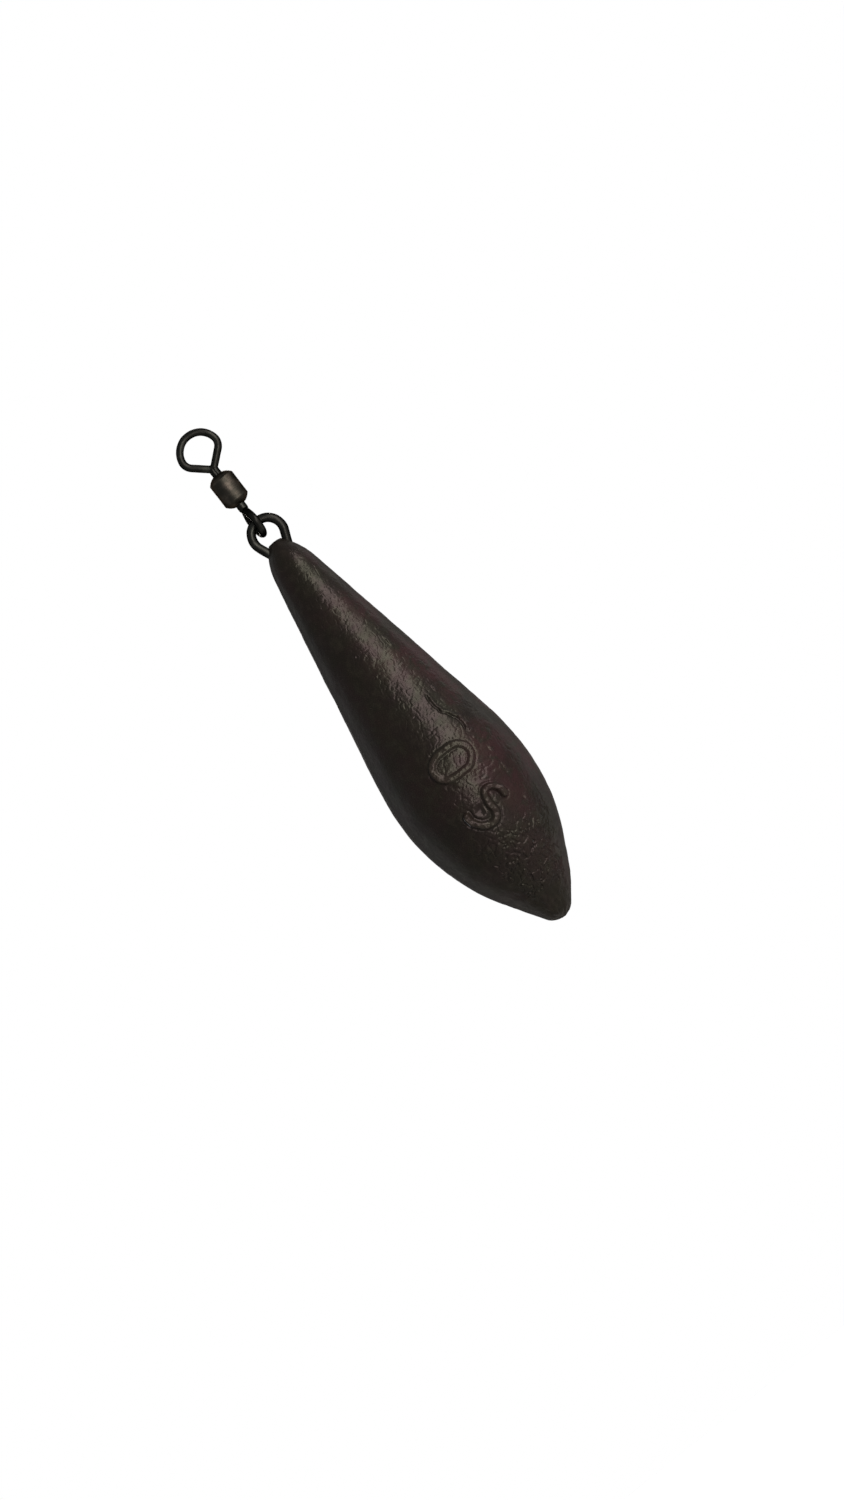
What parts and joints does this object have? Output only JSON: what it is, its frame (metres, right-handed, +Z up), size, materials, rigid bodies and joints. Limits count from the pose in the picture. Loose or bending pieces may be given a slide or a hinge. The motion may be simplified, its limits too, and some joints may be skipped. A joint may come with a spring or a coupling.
{
  "type": "fishing sinker",
  "caption": "Pear-shaped cast sinker with a dark coating, a cast-in wire loop and a rolling swivel that links it to the line.",
  "frame": {"origin": "centre of the line eye, the swivel's upper ring, by which the sinker hangs", "axes": "+Z up along the swivel, from the nose of the casting to the line eye; the line eye and the hanger loop lie in the XZ plane, and the raised figures face -Y"},
  "size_m": [0.0153, 0.0156, 0.0638],
  "materials": {
    "cast_lead": "dull grey cast metal",
    "dark_coating": "baked dark brown coating, faintly grainy, satin",
    "blackened_wire": "blackened steel wire, satin",
    "bronzed_barrel": "dark bronzed brass, satin"
  },
  "bodies": {
    "line_eye": {"line_eye": "blackened_wire"},
    "barrel": {"swivel_barrel": "bronzed_barrel"},
    "link_eye": {"link_eye": "blackened_wire"},
    "sinker": {"lead_core": "cast_lead", "coating": "dark_coating", "hanger_loop": "blackened_wire"}
  },
  "joints": [
    {"name": "barrel_spin", "type": "hinge", "parent": "line_eye", "child": "barrel", "pos_m": [0, 0, -0.00483], "axis": [0, 0, 1], "continuous": true},
    {"name": "link_eye_spin", "type": "hinge", "parent": "barrel", "child": "link_eye", "pos_m": [0, 0, -0.00904], "axis": [0, 0, 1], "continuous": true},
    {"name": "sinker_swing", "type": "hinge", "parent": "link_eye", "child": "sinker", "pos_m": [0, 0, -0.00928], "axis": [1, 0, 0], "range_deg": [-120, 120]}
  ]
}
